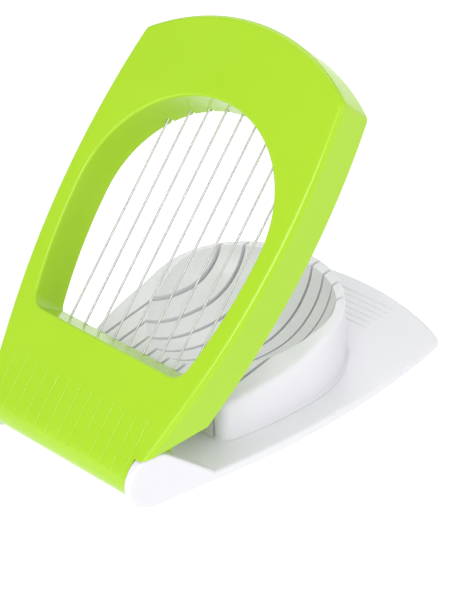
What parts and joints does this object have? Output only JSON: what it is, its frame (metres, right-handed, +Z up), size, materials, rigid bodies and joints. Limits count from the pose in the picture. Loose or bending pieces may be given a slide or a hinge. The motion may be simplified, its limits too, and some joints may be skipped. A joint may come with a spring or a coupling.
{
  "type": "egg slicer",
  "caption": "Hinged hand egg slicer with a slotted egg cradle on a flat base and a swinging frame strung with parallel cutting wires.",
  "frame": {"origin": "centre of the base's footprint, on the surface it stands on", "axes": "+Z up, +X along the hinge, +Y from the hinge to the free end of the base"},
  "size_m": [0.0858, 0.1288, 0.1053],
  "materials": {
    "green_plastic": "gloss",
    "white_plastic": "satin",
    "wire_steel": "drawn",
    "pin_steel": "turned"
  },
  "bodies": {
    "base": {"base_plate": "white_plastic", "egg_cradle": "white_plastic"},
    "frame": {"cutting_frame": "green_plastic", "cutting_wire_1": "wire_steel", "cutting_wire_2": "wire_steel", "cutting_wire_3": "wire_steel", "cutting_wire_4": "wire_steel", "cutting_wire_5": "wire_steel", "cutting_wire_6": "wire_steel", "cutting_wire_7": "wire_steel", "cutting_wire_8": "wire_steel", "cutting_wire_9": "wire_steel", "hinge_pin_left": "pin_steel", "hinge_pin_right": "pin_steel"}
  },
  "joints": [
    {"name": "frame_hinge", "type": "hinge", "parent": "base", "child": "frame", "pos_m": [0, -0.0561, 0.0083], "axis": [1, 0, 0], "range_deg": [-47, 131]}
  ]
}
